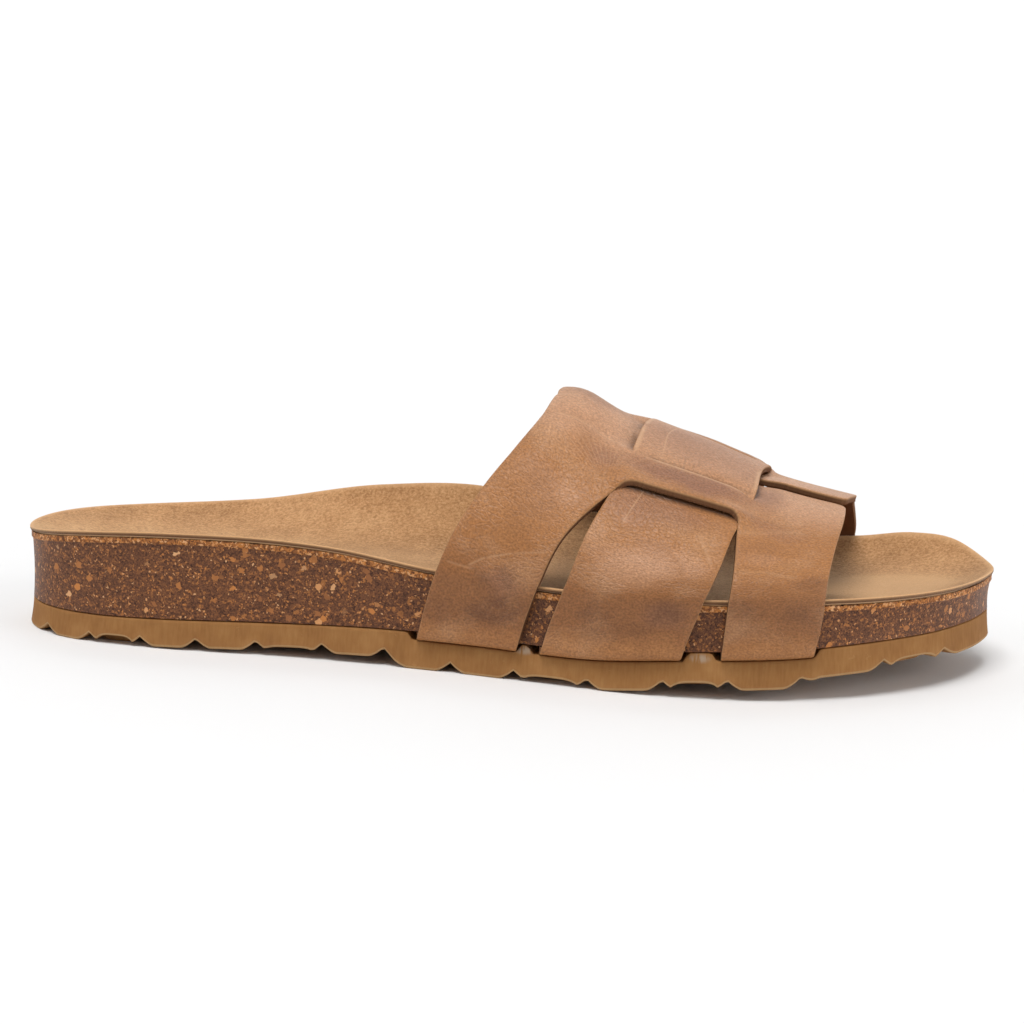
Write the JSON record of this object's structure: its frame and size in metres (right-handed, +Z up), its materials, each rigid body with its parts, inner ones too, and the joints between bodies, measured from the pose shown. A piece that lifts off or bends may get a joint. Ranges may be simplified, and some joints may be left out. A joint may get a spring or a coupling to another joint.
{
  "type": "slide sandal",
  "caption": "Right-foot slide sandal: woven leather strap with side cut-outs and a centre window, contoured cork footbed with suede lining, lugged outsole.",
  "frame": {"origin": "middle of the overall box, on the floor plane under the sole", "axes": "+X from heel to toe, +Y towards the inner side of the foot, +Z up"},
  "size_m": [0.264, 0.1026, 0.0714],
  "materials": {
    "outsole": "matte foamed sole, finely sanded side",
    "cork": "pressed cork granules under a clear seal",
    "suede": "suede nap",
    "strap_leather": "oiled pull-up leather, satin"
  },
  "bodies": {
    "root": {"outsole": "outsole", "cork_footbed": "cork", "insole": "suede", "upper": "strap_leather"}
  },
  "joints": []
}
